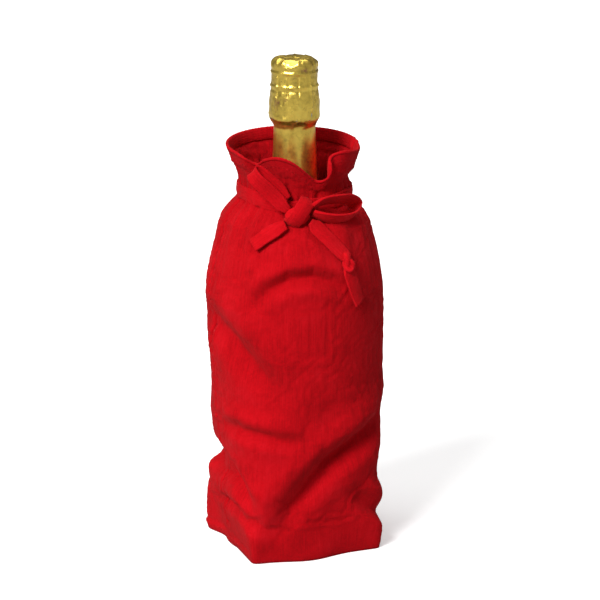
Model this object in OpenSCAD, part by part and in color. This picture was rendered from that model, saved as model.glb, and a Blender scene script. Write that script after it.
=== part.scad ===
// Tied fabric bag holding a foil-necked bottle. The origin is the centre of the
// base's underside, +Z is up, and the bow faces -Y.

/* [Bottle] */
// Diameter of the bottle's straight body
bottle_d = 86; // [70:1:104]
// Height of the glass, base to mouth
glass_h = 297; // [245:1:360]
// Height at which the straight body ends and the shoulder begins
shoulder_low = 125; // [100:1:150]
// Height at which the shoulder ends and the neck begins
shoulder_top = 240; // [232:1:244]
// Radius of the neck where the shoulder ends
neck_base_r = 14.4; // [13.6:0.1:17]
// Radius of the neck just under the lip
neck_top_r = 12.8; // [12.2:0.1:14]
// Radius of the glass lip that the cage grips
lip_r = 15.4; // [14.6:0.1:18]
// Height of the glass lip
lip_h = 14; // [11:0.5:17]
// Wall of the glass
glass_wall = 4; // [3:0.1:4.8]
// Radius of the bore that the cork fills
bore_r = 8.8; // [7.5:0.1:9.4]
// Height of the hollow in the bottle's foot
punt_h = 26; // [20:1:32]

/* [Cork, cage and foil] */
// Radius of the cork's head
cork_head_r = 13; // [11:0.1:14.2]
// Height of the cork's head above the glass
cork_head_h = 20; // [16:0.5:24]
// Length of the cork inside the neck
cork_plug = 26; // [20:1:32]
// Thickness of the cage wire
wire_d = 0.9; // [0.7:0.05:1.1]
// Thickness of the foil
foil_t = 0.25; // [0.2:0.01:0.4]
// How far the foil reaches down from the lip
foil_drop = 56; // [44:1:66]
// Height of the foil's folded top above the plate
foil_peak = 3.5; // [0:0.5:5]

/* [Bag] */
// Thickness of the bag's cloth
cloth_t = 1.2; // [0.9:0.1:1.6]
// Room between the bottle and the sides of the square base
base_gap = 1.3; // [1:0.1:6]
// Room between the bottle and the widest part of the bag
belly_gap = 14.3; // [8:0.1:22]
// Height of the widest part of the bag
belly_z = 150; // [120:1:178]
// Radius of the bag where it is tied
tied_r = 36; // [32:0.5:43]
// How far the middle of the tie lies below the glass mouth
tie_drop = 62.5; // [52:0.5:72]
// How far the rim of the collar stands above the tie
collar_h = 32; // [26:0.5:38]
// How far the rim flares out beyond the tied neck
flare = 8.5; // [6:0.5:11]
// Depth of the turned hem at the rim
hem_h = 8; // [6:0.5:11]

/* [Tie] */
// Width of the folded fabric tape
tape_w = 10; // [8:0.5:12]
// Thickness of the folded fabric tape
tape_t = 1.6; // [1.2:0.1:2]
// Half height of the bow's knot
knot_h = 8; // [6.5:0.5:9.5]
// How far the bow's knot hangs below the middle of the band
knot_drop = 3.5; // [2:0.5:4.5]

/* [Hidden] */
// Gap between pieces that move against each other
run_gap = 0.5;
// Gap between pieces that sit on one another in one body
sit_gap = 0.1;
// Depth that a stitch sinks into the cloth
bite = 0.2;

bottle_r = bottle_d / 2;
stand_z = cloth_t + run_gap;
glass_top = stand_z + glass_h;
lip_low = glass_top - lip_h;
heel_r = 8;
punt_r = bottle_r - heel_r - 1;

base_half = bottle_r + base_gap + cloth_t;
belly_r = bottle_r + belly_gap + cloth_t;
tie_z = glass_top - tie_drop;
tied_low = tie_z - tape_w / 2 - 0.5;
tied_top = tie_z + tape_w / 2 + 0.5;
rim_z = tie_z + collar_h;
rim_r = tied_r + flare;
band_r = tied_r + sit_gap + tape_t;
edge_h = 3;
edge_in = 2;

// Compass angles, seen from above, of the bow's knot and of the tack behind it
knot_a = -106;
tack_a = 90;

function mix(a, b, t) = a + (b - a) * t;
function smooth(t) = t * t * (3 - 2 * t);
function share(z, low, top) = (z - low) / (top - low);
function polar(r, a, z) = [r * cos(a), r * sin(a), z];
function unit(v) = v / norm(v);

// Two triangles from the four corners of a patch
function split(a, b, c, d) = [[a, b, c], [a, c, d]];

// Half width of the bag's outside at a height
function bag_half(z) =
    z <= edge_h ? base_half - edge_in * (1 - z / edge_h) :
    z <= belly_z ? mix(base_half, belly_r, sin(90 * share(z, edge_h, belly_z))) :
    z <= tied_low ? mix(belly_r, tied_r, pow(share(z, belly_z, tied_low), 3)) :
    z <= tied_top ? tied_r :
    mix(tied_r, rim_r, pow(share(z, tied_top, rim_z), 1.5));

// Squareness of the bag at a height: 2 is round, 10 a square with round corners
function squareness(z) = z >= belly_z ? 2 : 2 + 8 * pow(1 - z / belly_z, 3);

// Point on the bag's outside, moved inwards by a depth
function bag_point(z, a, depth) =
    let (n = squareness(z), c = abs(cos(a)), s = abs(sin(a)))
    polar((bag_half(z) - depth) / pow(pow(c, n) + pow(s, n), 1 / n), a, z);

RINGS = concat(
    [0, edge_h],
    [for (i = [1:7]) mix(edge_h, belly_z, i / 7)],
    [for (i = [1:8]) mix(belly_z, tied_low, i / 8)],
    [tied_top],
    [for (i = [1:4]) mix(tied_top, rim_z, i / 4)]);
HALF_SIDES = 20;

// Outside radius of the bottle, at a height above its foot
function glass_r(h) =
    h < heel_r ? bottle_r - heel_r + sqrt(heel_r * heel_r - pow(heel_r - h, 2)) :
    h <= shoulder_low ? bottle_r :
    h <= neck_start ? mix(bottle_r, neck_base_r, smooth(share(h, shoulder_low, neck_start))) :
    mix(neck_base_r, neck_top_r, share(h, neck_start, glass_h - lip_h));

// Inside wall of the glass from the straight body up to the bore
neck_start = shoulder_top * glass_h / 297;
function hollow_side(gap) = [for (i = [0:14])
    let (h = mix(shoulder_low, neck_start, i / 14)) [max(bore_r, glass_r(h) - glass_wall) - gap, h]];

// Route of each stretch of tape: compass angle, standing off the bag, height from the tie
LOOP_LEFT = [[-115.5, 6.5, -3], [-121, 7.8, 1.2], [-127.6, 9, 6.7], [-134.5, 9.5, 12.1],
             [-141, 9, 16.8], [-145.3, 6.8, 19.8], [-145.8, 4.4, 20.8], [-142, 2.8, 19.8],
             [-134.2, 2.6, 15.6], [-126, 3.2, 10.4], [-120, 3.6, 6.6], [-116, 3.8, 3.8]];
LOOP_RIGHT = [[-94.5, 2.5, -0.5], [-88.5, 2.8, 1.8], [-80, 3, 3], [-70, 3, 3], [-60, 3, 1.6],
              [-51, 3, -1.2], [-46.5, 3, -4.6], [-49, 3, -7.6], [-58, 3, -9.4], [-68, 3.3, -9.8],
              [-78, 3.5, -9], [-87, 3.3, -7.2], [-94, 2.5, -5]];
TAIL_RIGHT = [[-94, 4.8, -12], [-89, 4.2, -16.6], [-83, 3.6, -22.4], [-79, 3.6, -26.6],
              [-76, 4, -30], [-74.6, 4.4, -32.6]];
TAIL_TIP = [[-73.5, 4, -40], [-71.8, 3.2, -46], [-69.8, 2.7, -52.5], [-67.6, 2.5, -58.5],
            [-65.5, 2.5, -63.4]];
TAIL_LEFT = [[-117, 4.8, -11.6], [-121.5, 4.4, -13.4], [-126.5, 4, -15.8], [-131.5, 3.6, -18.6],
             [-136.3, 3.4, -21.9], [-140.5, 3.5, -25.2]];
TAIL_KNOT = [-73.8, 5.2, -36.5];
TAIL_KNOT_R = 4.2;

// Place of a route's point: the bag is round wherever the tape runs
function place(p) = polar(bag_half(tie_z + p[2]) + p[1], p[0], tie_z + p[2]);

// Section of the tape: wide along w, thin along n
TAPE_SIDES = 8;
function tape_ring(c, w, n) =
    [for (i = [0:TAPE_SIDES - 1])
        let (a = 360 * (i + 0.5) / TAPE_SIDES, f = 1 / cos(180 / TAPE_SIDES))
        c + w * max(-1, min(1, f * cos(a))) * tape_w / 2
          + n * max(-1, min(1, f * sin(a))) * tape_t / 2 * (abs(cos(a)) > 0.7 ? 0.5 : 1)];

// Tape along points, its thin side facing the given directions
module tape(points, facing) {
    last = len(points) - 1;
    rings = [for (i = [0:last])
        let (t = unit(points[min(i + 1, last)] - points[max(i - 1, 0)]),
             w = unit(cross(facing[i], t)))
        tape_ring(points[i], w, unit(cross(t, w)))];
    k = TAPE_SIDES;
    walls = [for (i = [0:last - 1], j = [0:k - 1]) each let (e = (j + 1) % k)
        split(i * k + j, (i + 1) * k + j, (i + 1) * k + e, i * k + e)];
    ends = [[for (j = [0:k - 1]) j], [for (j = [k - 1:-1:0]) last * k + j]];
    polyhedron([for (r = rings) for (p = r) p], concat(ends, walls), 6);
}

// Half of the bag between two compass angles, outside and inside skins
module panel(from_a, to_a) {
    n = HALF_SIDES;
    last = len(RINGS) - 1;
    outer = [for (z = RINGS, i = [0:n]) bag_point(z, mix(from_a, to_a, i / n), 0)];
    inner = [for (z = RINGS, i = [0:n])
        let (p = bag_point(z, mix(from_a, to_a, i / n), cloth_t)) [p[0], p[1], max(z, cloth_t)]];
    m = len(outer);
    row = n + 1;
    skins = [for (r = [0:last - 1], i = [0:n - 1]) each
        let (a = r * row + i, b = a + 1, c = b + row, d = a + row)
        concat(split(d, c, b, a), split(m + a, m + b, m + c, m + d))];
    seams = [for (r = [0:last - 1]) each
        let (a = r * row, b = a + row, c = a + n, d = b + n)
        concat(split(a, m + a, m + b, b), split(d, m + d, m + c, c))];
    rim = [for (i = [0:n - 1]) each
        let (a = last * row + i) split(a + 1, a, m + a, m + a + 1)];
    foot = [[for (i = [0:n]) i], [for (i = [n:-1:0]) m + i], [0, n, m + n, m]];
    polyhedron(concat(outer, inner), concat(skins, seams, rim, foot), 8);
}

// One stitch of sewing thread, lying on the cloth with its length along its own Z
module stitch(length = 2.6) {
    translate([-bite, -0.25, -length / 2]) cube([bite + 0.3, 0.5, length]);
}

// Stitches down a side seam at a compass angle, following the outline
module seam_row(a) {
    pitch = 4.2;
    for (z = [edge_h + 7 : pitch : tied_low - 4])
        let (lean = atan2(bag_half(z + 1) - bag_half(z - 1), 2))
        rotate([0, 0, a]) translate([bag_half(z), 0, z]) rotate([0, lean, 0]) stitch();
}

// Stitches across the foot of a side, closing a boxed corner
module corner_row(side) {
    pitch = 4.2;
    reach = base_half - 9;
    for (y = [-reach : pitch : reach])
        translate([side * base_half, y, edge_h + 1.5]) rotate([90, 0, side > 0 ? 0 : 180]) stitch();
}

module front_panel() {
    color([0.78, 0.07, 0.09]) panel(-180, 0);
}

module back_panel() {
    color([0.74, 0.06, 0.08]) panel(0, 180);
}

module left_seam_thread() {
    color([0.62, 0.05, 0.07]) seam_row(180);
}

module right_seam_thread() {
    color([0.62, 0.05, 0.07]) seam_row(0);
}

module left_corner_thread() {
    color([0.62, 0.05, 0.07]) corner_row(-1);
}

module right_corner_thread() {
    color([0.62, 0.05, 0.07]) corner_row(1);
}

// Turned edge inside the collar
module rim_hem() {
    low = rim_z - hem_h;
    fold_t = 0.8;
    slack = cloth_t + sit_gap + 0.05;
    steps = 3;
    outside = [for (i = [0:steps]) let (z = mix(low, rim_z, i / steps)) [bag_half(z) - slack, z]];
    inside = [for (i = [steps:-1:0]) outside[i] - [fold_t, 0]];
    color([0.7, 0.06, 0.08]) rotate_extrude($fn = 96) polygon(concat(outside, inside));
}

module hem_thread() {
    count = 60;
    z = rim_z - hem_h + 1;
    lean = atan2(bag_half(z + 1) - bag_half(z - 1), 2);
    color([0.62, 0.05, 0.07]) for (i = [0:count - 1])
        rotate([0, 0, 360 * (i + 0.5) / count]) translate([bag_half(z), 0, z])
            rotate([0, lean, 0]) rotate([90, 0, 0]) stitch();
}

// Tape drawn round the gathered neck
module neck_band() {
    color([0.8, 0.08, 0.1]) difference() {
        translate([0, 0, tie_z - tape_w / 2]) cylinder(h = tape_w, r = band_r, $fn = 96);
        translate([0, 0, tie_z - tape_w]) cylinder(h = 2 * tape_w, r = tied_r + sit_gap, $fn = 96);
    }
}

// Bar tack that holds the tape to the back of the bag
module tie_tack() {
    rows = 5;
    color([0.6, 0.05, 0.06]) for (i = [0:rows - 1])
        rotate([0, 0, tack_a]) translate([band_r, 0, mix(tie_z - 3, tie_z + 3, i / (rows - 1))])
            rotate([90, 0, 0]) stitch(5);
}

// Round lump of the knot, by its size, its stand off the band, its turn and its height
module lump(r, off, turn, up) {
    translate(polar(band_r + off, knot_a + turn, tie_z - knot_drop + up)) sphere(r, $fn = 24);
}

module bow_knot() {
    core_r = 3.6;
    color([0.82, 0.08, 0.1]) {
        hull() {
            lump(core_r, core_r + 1.3, -3, core_r - knot_h);
            lump(core_r, core_r - 2 * bite, 3, knot_h - core_r);
            lump(core_r, core_r + 1.5, 0, 0);
        }
        // The tape of the right tail comes out low on the right
        hull() {
            lump(2.6, core_r + 1.5, 0, -2);
            lump(2.6, core_r + 2.2, 7, -6);
        }
    }
}

module loop_left() {
    pts = [for (p = LOOP_LEFT) place(p)];
    last = len(pts) - 1;
    // The loop lies flat on the collar, so its thin side turns with the fold
    facing = [for (i = [0:last])
        let (t = pts[min(i + 1, last)] - pts[max(i - 1, 0)], out = polar(1, LOOP_LEFT[i][0], 0))
        cross(t, cross(out, pts[4] - pts[0]))];
    color([0.8, 0.08, 0.1]) tape(pts, facing);
}

module loop_right() {
    // The loop stands on edge: its route is that of the edge nearest the bag
    pts = [for (p = LOOP_RIGHT) place(p + [0, tape_w / 2, 0])];
    last = len(pts) - 1;
    facing = [for (i = [0:last])
        let (t = pts[min(i + 1, last)] - pts[max(i - 1, 0)]) cross(t, polar(1, LOOP_RIGHT[i][0], 0))];
    color([0.8, 0.08, 0.1]) tape(pts, facing);
}

// Tape lying on the bag's shoulder
module flat_tape(route) {
    tape([for (p = route) place(p)], [for (p = route) polar(1, p[0], 0.6)]);
}

module tail_left() {
    color([0.8, 0.08, 0.1]) flat_tape(TAIL_LEFT);
}

module tail_right() {
    color([0.8, 0.08, 0.1]) flat_tape(TAIL_RIGHT);
}

module tail_knot() {
    color([0.8, 0.08, 0.1]) translate(place(TAIL_KNOT)) sphere(TAIL_KNOT_R, $fn = 32);
}

module tail_tip() {
    color([0.8, 0.08, 0.1]) flat_tape(TAIL_TIP);
}

module glass_bottle() {
    steps = 14;
    top = glass_h;
    low = glass_h - lip_h;
    heel = [for (i = [0:4]) let (h = heel_r * (1 - cos(90 * i / 4))) [glass_r(h), h]];
    shoulder = [for (i = [0:steps]) let (h = mix(shoulder_low, neck_start, i / steps)) [glass_r(h), h]];
    lip = [[neck_top_r, low], [lip_r, low + 2], [lip_r, top - 5], [cork_head_r, top]];
    bore = [[bore_r, top], [bore_r, low - cork_plug]];
    side = hollow_side(0);
    hollow = [for (i = [len(side) - 1:-1:0]) side[i]];
    corner = [bottle_r - glass_wall, heel_r + glass_wall];
    dome_in = [for (i = [0:6]) [punt_r * cos(90 * i / 6), glass_wall + punt_h * sin(90 * i / 6)]];
    dome_out = [for (i = [6:-1:0]) [(punt_r - 3) * cos(90 * i / 6), punt_h * sin(90 * i / 6)]];
    color([0.12, 0.2, 0.1, 0.8]) translate([0, 0, stand_z]) rotate_extrude($fn = 96)
        polygon(concat(heel, shoulder, lip, bore, hollow, [corner], dome_in, dome_out));
}

module wine() {
    inner_r = bottle_r - glass_wall - sit_gap;
    low = glass_wall + sit_gap;
    dome = [for (i = [6:-1:0]) [punt_r * cos(90 * i / 6), low + punt_h * sin(90 * i / 6)]];
    color([0.85, 0.75, 0.4]) translate([0, 0, stand_z]) rotate_extrude($fn = 96)
        polygon(concat(dome, [[inner_r, heel_r + low]], hollow_side(sit_gap), [[0, neck_start]]));
}

module cork() {
    plug_r = bore_r - 0.02;
    round_r = 3;
    dome = [for (i = [0:4]) [cork_head_r - round_r + round_r * cos(90 * i / 4),
        cork_head_h - round_r + round_r * sin(90 * i / 4)]];
    color([0.75, 0.58, 0.38]) translate([0, 0, glass_top]) rotate_extrude($fn = 64)
        polygon(concat([[0, -cork_plug], [plug_r, -cork_plug], [plug_r, sit_gap], [cork_head_r, sit_gap + 2]],
            dome, [[0, cork_head_h]]));
}

// Pressed plate between the cork's head and the cage
module cage_cap() {
    plate_t = 0.6;
    color([0.8, 0.78, 0.7]) translate([0, 0, glass_top + cork_head_h + sit_gap])
        cylinder(h = plate_t, r = cork_head_r - 2, $fn = 64);
}

// Wire along points, as a six-sided rod; side is square to the wire all along it
module wire(points, side, closed = false) {
    k = 6;
    n = len(points);
    last = n - 1;
    at = function (i) closed ? points[(i + n) % n] : points[max(0, min(last, i))];
    rings = [for (i = [0:last])
        let (t = unit(at(i + 1) - at(i - 1)), u = unit(cross(t, side)), v = cross(t, u))
        [for (j = [0:k - 1]) points[i] + (u * cos(360 * j / k) + v * sin(360 * j / k)) * wire_d / 2]];
    walls = [for (i = [0:closed ? last : last - 1], j = [0:k - 1]) each
        let (next = (i + 1) % n * k, e = (j + 1) % k)
        split(i * k + j, next + j, next + e, i * k + e)];
    ends = closed ? [] : [[for (j = [0:k - 1]) j], [for (j = [k - 1:-1:0]) last * k + j]];
    polyhedron([for (r = rings) for (p = r) p], concat(ends, walls), 6);
}

module wire_cage() {
    legs = 4;
    turn = 23;
    hoop_sides = 24;
    grip_r = lip_r + wire_d / 2 + sit_gap;
    top_r = cork_head_r - 3.5;
    plate_z = glass_top + cork_head_h + 0.6 + 2 * sit_gap + wire_d / 2;
    corner_z = glass_top + cork_head_h - 2;
    belt_z = lip_low + 1;
    color([0.7, 0.66, 0.5]) {
        wire([for (i = [0:hoop_sides - 1]) polar(top_r, 360 * i / hoop_sides, plate_z)], [0, 0, 1], true);
        wire([for (i = [0:hoop_sides - 1]) polar(grip_r, 360 * i / hoop_sides, belt_z)], [0, 0, 1], true);
        for (i = [0:legs - 1]) let (a = turn + 360 * i / legs)
            wire([polar(top_r - 0.2, a, plate_z), polar(cork_head_r - 1.6, a, plate_z - 0.1),
                polar(cork_head_r + wire_d, a, corner_z), polar(cork_head_r + wire_d, a, glass_top + 2),
                polar(grip_r, a, glass_top - 5), polar(grip_r, a, belt_z - 0.2)], polar(1, a + 90, 0));
    }
}

// Foil over the cork, the cage and the neck
module foil_hood() {
    top_z = glass_top + cork_head_h + 0.6 + wire_d + 4 * sit_gap + foil_peak;
    hood_r = cork_head_r + 1.5 * wire_d + sit_gap;
    belly = lip_r + wire_d + 2 * sit_gap;
    foot_h = glass_h - foil_drop - lip_h;
    round_h = 3;
    skirt = [for (h = [foot_h, (foot_h + neck_start) / 2, neck_start]) [glass_r(h) + sit_gap, stand_z + h]];
    inside = concat(skirt,
        [[neck_top_r + 2 * sit_gap, lip_low - 3.5], [belly, lip_low - 0.8], [belly, glass_top - 4.5],
         [hood_r, glass_top + 2.5], [hood_r, top_z - round_h], [hood_r - round_h, top_z], [0, top_z]]);
    outside = [for (i = [len(inside) - 1:-1:0])
        let (p = inside[i]) p[0] == 0 ? [0, top_z + foil_t] : p + [foil_t, p[1] > top_z - 1 ? foil_t : 0]];
    color([0.83, 0.7, 0.28]) rotate_extrude($fn = 96) polygon(concat(inside, outside));
}

// Blank paper label on the bottle's straight body
module label(a, spread, low, high) {
    paper_t = 0.2;
    color([0.93, 0.91, 0.85]) translate([0, 0, stand_z + low]) rotate([0, 0, a - spread / 2])
        rotate_extrude(angle = spread, $fn = 96)
            translate([bottle_r + sit_gap, 0]) square([paper_t, high - low]);
}

module front_label() {
    label(-90, 110, 42, 112);
}

module back_label() {
    label(90, 70, 42, 102);
}

front_panel();
back_panel();
left_seam_thread();
right_seam_thread();
left_corner_thread();
right_corner_thread();
rim_hem();
hem_thread();
neck_band();
tie_tack();
bow_knot();
loop_left();
loop_right();
tail_left();
tail_right();
tail_knot();
tail_tip();
glass_bottle();
wine();
cork();
cage_cap();
wire_cage();
foil_hood();
front_label();
back_label();
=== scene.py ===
"""Wine gift bag: a red cotton bag tied with a bow round a gold-foiled bottle."""
from math import atan2, cos, pi, radians, sin, tau

import bmesh
import bpy
import numpy as np
from bpy.props import FloatProperty, FloatVectorProperty, IntProperty, PointerProperty
from mathutils import Matrix, Vector, noise


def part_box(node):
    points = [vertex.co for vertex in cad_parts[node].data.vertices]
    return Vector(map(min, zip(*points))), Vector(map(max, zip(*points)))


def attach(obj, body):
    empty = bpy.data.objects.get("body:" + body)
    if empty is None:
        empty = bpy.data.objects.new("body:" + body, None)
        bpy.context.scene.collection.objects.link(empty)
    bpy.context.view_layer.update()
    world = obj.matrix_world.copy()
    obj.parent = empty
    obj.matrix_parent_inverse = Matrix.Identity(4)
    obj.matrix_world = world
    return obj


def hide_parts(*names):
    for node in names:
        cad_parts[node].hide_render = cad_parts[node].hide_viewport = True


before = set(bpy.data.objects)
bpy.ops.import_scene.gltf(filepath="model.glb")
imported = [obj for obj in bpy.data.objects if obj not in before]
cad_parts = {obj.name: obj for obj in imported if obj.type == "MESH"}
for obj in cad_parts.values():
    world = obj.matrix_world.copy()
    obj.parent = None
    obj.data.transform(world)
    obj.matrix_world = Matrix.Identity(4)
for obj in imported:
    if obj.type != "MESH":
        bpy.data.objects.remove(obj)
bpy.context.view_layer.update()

bl_info = {
    "name": "Wine Gift Bag",
    "version": (1, 0, 0),
    "blender": (4, 5, 0),
    "location": "View3D > Sidebar > Gift Bag",
    "description": "Builds a tied cotton gift bag round a foil-necked bottle",
    "category": "Add Mesh",
}

MM = 0.001
BAG = "bag"
BOTTLE = "bottle"

# ---- sizes from the frame
BAND_LOW, BAND_HIGH = (Vector(p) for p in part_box("neck_band"))
PANEL_HIGH = Vector(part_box("front_panel")[1])
HOOD_LOW, HOOD_HIGH = (Vector(p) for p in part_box("foil_hood"))
GLASS_HIGH = Vector(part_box("glass_bottle")[1])

TAPE_W = BAND_HIGH.z - BAND_LOW.z
TIE_Z = (BAND_HIGH.z + BAND_LOW.z) / 2
BAND_R = BAND_HIGH.x
RIM_Z = PANEL_HIGH.z
BELLY_R = PANEL_HIGH.x
BOTTLE_R = GLASS_HIGH.x
TAPE_T = 1.6 * MM
TIED_R = BAND_R - TAPE_T - 0.1 * MM
RIM_R = TIED_R + 8.5 * MM
BELLY_Z = 150 * MM
BASE_HALF = BELLY_R - 13 * MM
EDGE_H, EDGE_IN = 3 * MM, 0.6 * MM  # the base's edge
TIED_LOW = TIE_Z - TAPE_W / 2 - 0.5 * MM
TIED_TOP = TIE_Z + TAPE_W / 2 + 0.5 * MM
KNOT_ANGLE = -106
CUT_GIRTH = 0.36
SETTLE_CAP = 7 * MM  # the furthest that the settling cloth may move


def mix(a, b, t):
    return a + (b - a) * t


def smooth(t):
    t = np.clip(t, 0.0, 1.0)
    return t * t * (3 - 2 * t)


def polar(r, degrees_, z):
    return Vector((r * cos(radians(degrees_)), r * sin(radians(degrees_)), z))


def bag_half(z):
    """Half width of the bag at heights z, before any fold."""
    z = np.asarray(z, dtype=float)
    low = BASE_HALF - EDGE_IN * (1 - z / EDGE_H)
    belly = mix(BASE_HALF, BELLY_R, np.sin(pi / 2 * np.clip((z - EDGE_H) / (BELLY_Z - EDGE_H), 0, 1)))
    upper = mix(BELLY_R, TIED_R, np.clip((z - BELLY_Z) / (TIED_LOW - BELLY_Z), 0, 1) ** 3)
    collar = mix(TIED_R, RIM_R, np.clip((z - TIED_TOP) / (RIM_Z - TIED_TOP), 0, 1) ** 1.5)
    return np.select([z <= EDGE_H, z <= BELLY_Z, z <= TIED_LOW, z <= TIED_TOP],
                     [low, belly, upper, TIED_R], collar)


def squareness(z):
    """Exponent of the outline: 2 is round, 28 a square with tight corners."""
    z = np.asarray(z)
    return 2 + 8 * np.clip(1 - z / BELLY_Z, 0, 1) ** 3 + 18 * np.exp(-(z / (15 * MM)) ** 2)


# ---- tape routes
# Compass angle in degrees, millimetres off the bag, millimetres above the tie
LOOP_LEFT = [(-115.5, 6.5, -3), (-121, 7.8, 1.2), (-127.6, 9, 6.7), (-134.5, 9.5, 12.1),
             (-141, 9, 16.8), (-145.3, 6.8, 19.8), (-145.8, 4.4, 20.8), (-142, 2.8, 19.8),
             (-134.2, 2.6, 15.6), (-126, 3.2, 10.4), (-120, 3.6, 6.6), (-116, 3.8, 3.8)]
LOOP_RIGHT = [(-94.5, 7.5, -0.5), (-88.5, 7.8, 1.8), (-80, 8, 3), (-70, 8, 3), (-60, 8, 1.6),
              (-51, 8, -1.2), (-46.5, 8, -4.6), (-49, 8, -7.6), (-58, 8, -9.4), (-68, 8.3, -9.8),
              (-78, 8.5, -9), (-87, 8.3, -7.2), (-94, 7.5, -5)]
TAIL_START = [(-96.8, 5.4, -10)]
TAIL_RIGHT = [(-94, 4.8, -12), (-89, 4.2, -16.6), (-83, 3.6, -22.4), (-79, 3.6, -26.6),
              (-76, 4, -30), (-74.6, 4.4, -32.6)]
TAIL_KNOT = (-73.8, 5.2, -36.5)
TAIL_TIP = [(-73.5, 4, -40), (-71.8, 3.2, -46), (-69.8, 2.7, -52.5), (-67.6, 2.5, -58.5),
            (-65.5, 2.5, -63.4)]
TAIL_LEFT = [(-117, 4.8, -11.6), (-121.5, 4.4, -13.4), (-126.5, 4, -15.8), (-131.5, 3.6, -18.6),
             (-136.3, 3.4, -21.9), (-140.5, 3.5, -25.2)]
KNOT_DROP = 3.5 * MM


def place(spot):
    angle, off, up = spot
    z = TIE_Z + up * MM
    return polar(float(bag_half(z)) + off * MM, angle, z)


# ---- settings
def length(name, description, default):
    return FloatProperty(name=name, description=description, default=default, unit="LENGTH")


def colour_of(name, description, default):
    return FloatVectorProperty(name=name, description=description, default=default, subtype="COLOR", size=3,
                               min=0, max=1)


class GiftBagSizes(bpy.types.PropertyGroup):
    columns: IntProperty(name="Columns", description="Vertices round the bag", default=232, min=80, max=320)
    wall_rows: IntProperty(name="Wall rows", description="Rows of vertices from base to rim",
                           default=164, min=60, max=220)
    cloth_t: length("Cloth thickness", "Thickness of the bag's cotton", 1.0 * MM)
    growth: FloatProperty(name="Slack", description="Share by which the cloth is cut larger than the bag it fills",
                          default=0.02, subtype="FACTOR")
    gather: length("Gather depth", "Depth of the gathers at the tie", 1.5 * MM)
    stitch_len: length("Stitch length", "Visible length of one stitch", 2.6 * MM)
    stitch_pitch: length("Stitch pitch", "Distance from one stitch to the next", 3.6 * MM)
    foil_crinkle: length("Foil crinkle", "Depth of the creases in the foil", 0.32 * MM)


class GiftBagColours(bpy.types.PropertyGroup):
    cloth: colour_of("Bag cotton", "Colour of the bag's cotton", (0.47, 0.002, 0.006))
    thread: colour_of("Thread", "Colour of the sewing thread", (0.44, 0.002, 0.006))
    foil: colour_of("Foil", "Colour of the gold foil", (1.0, 0.72, 0.13))
    glass: colour_of("Glass", "Colour of the bottle's glass", (0.06, 0.16, 0.05))
    floor: colour_of("Floor", "Colour of the floor", (0.93, 0.93, 0.93))


def sizes():
    return bpy.context.scene.gift_bag_sizes


def colours():
    return bpy.context.scene.gift_bag_colours


# ---- materials
class Nodes:
    """Short calls for building one material's node tree."""

    def __init__(self, name):
        self.material = bpy.data.materials.new(name)
        self.material.use_nodes = True
        self.tree = self.material.node_tree
        self.shader = next(n for n in self.tree.nodes if n.type == "BSDF_PRINCIPLED")

    def add(self, kind, **settings):
        node = self.tree.nodes.new(kind)
        for key, value in settings.items():
            if key in node.inputs:
                node.inputs[key].default_value = value
            else:
                setattr(node, key, value)
        return node

    def link(self, out, into):
        self.tree.links.new(out, into)

    def set(self, **values):
        for key, value in values.items():
            self.shader.inputs[key.replace("_", " ")].default_value = value

    def math(self, operation, a, b=None):
        node = self.add("ShaderNodeMath", operation=operation)
        for socket, value in zip(node.inputs, (a, b)):
            if isinstance(value, (int, float)):
                socket.default_value = value
            elif value is not None:
                self.link(value, socket)
        return node.outputs[0]

    def coordinates(self, kind, scale=(1, 1, 1)):
        coord = self.add("ShaderNodeTexCoord")
        mapping = self.add("ShaderNodeMapping")
        mapping.inputs["Scale"].default_value = scale
        self.link(coord.outputs[kind], mapping.inputs["Vector"])
        return mapping.outputs["Vector"]

    def noise(self, vector, scale, detail=3.0, rough=0.55):
        node = self.add("ShaderNodeTexNoise", Scale=scale, Detail=detail, Roughness=rough)
        self.link(vector, node.inputs["Vector"])
        return node.outputs["Fac"]

    def ramp(self, value, stops):
        node = self.add("ShaderNodeValToRGB")
        band = node.color_ramp
        while len(band.elements) < len(stops):
            band.elements.new(0.5)
        for element, (at, colour) in zip(band.elements, stops):
            element.position = at
            element.color = (*colour, 1)
        self.link(value, node.inputs["Fac"])
        return node.outputs["Color"]

    def bump(self, height, distance, strength=1.0, under=None):
        node = self.add("ShaderNodeBump", Distance=distance, Strength=strength)
        self.link(height, node.inputs["Height"])
        if under is not None:
            self.link(under, node.inputs["Normal"])
        return node.outputs["Normal"]

    def finish(self, colour, normal):
        self.link(colour, self.shader.inputs["Base Color"])
        self.link(normal, self.shader.inputs["Normal"])
        return self.material

    def weave(self, uv, pitch):
        """Height of a plain weave: warp and weft threads pass over each other in turn."""
        split = self.add("ShaderNodeSeparateXYZ")
        self.link(uv, split.inputs[0])
        threads = []
        for axis in (0, 1):
            turns = self.math("MULTIPLY", split.outputs[axis], pi / pitch)
            threads.append((turns, self.math("ABSOLUTE", self.math("SINE", turns))))
        (warp_turn, warp), (weft_turn, weft) = threads
        over = self.math("MULTIPLY", self.math("SINE", self.math("ADD", warp_turn, pi / 2)),
                         self.math("SINE", self.math("ADD", weft_turn, pi / 2)))
        lift = self.math("MULTIPLY", over, 0.35)
        return self.math("ADD", self.math("MULTIPLY", warp, weft), lift)


def shade(colour, factor):
    return tuple(min(1.0, c * factor) for c in colour)


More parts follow.
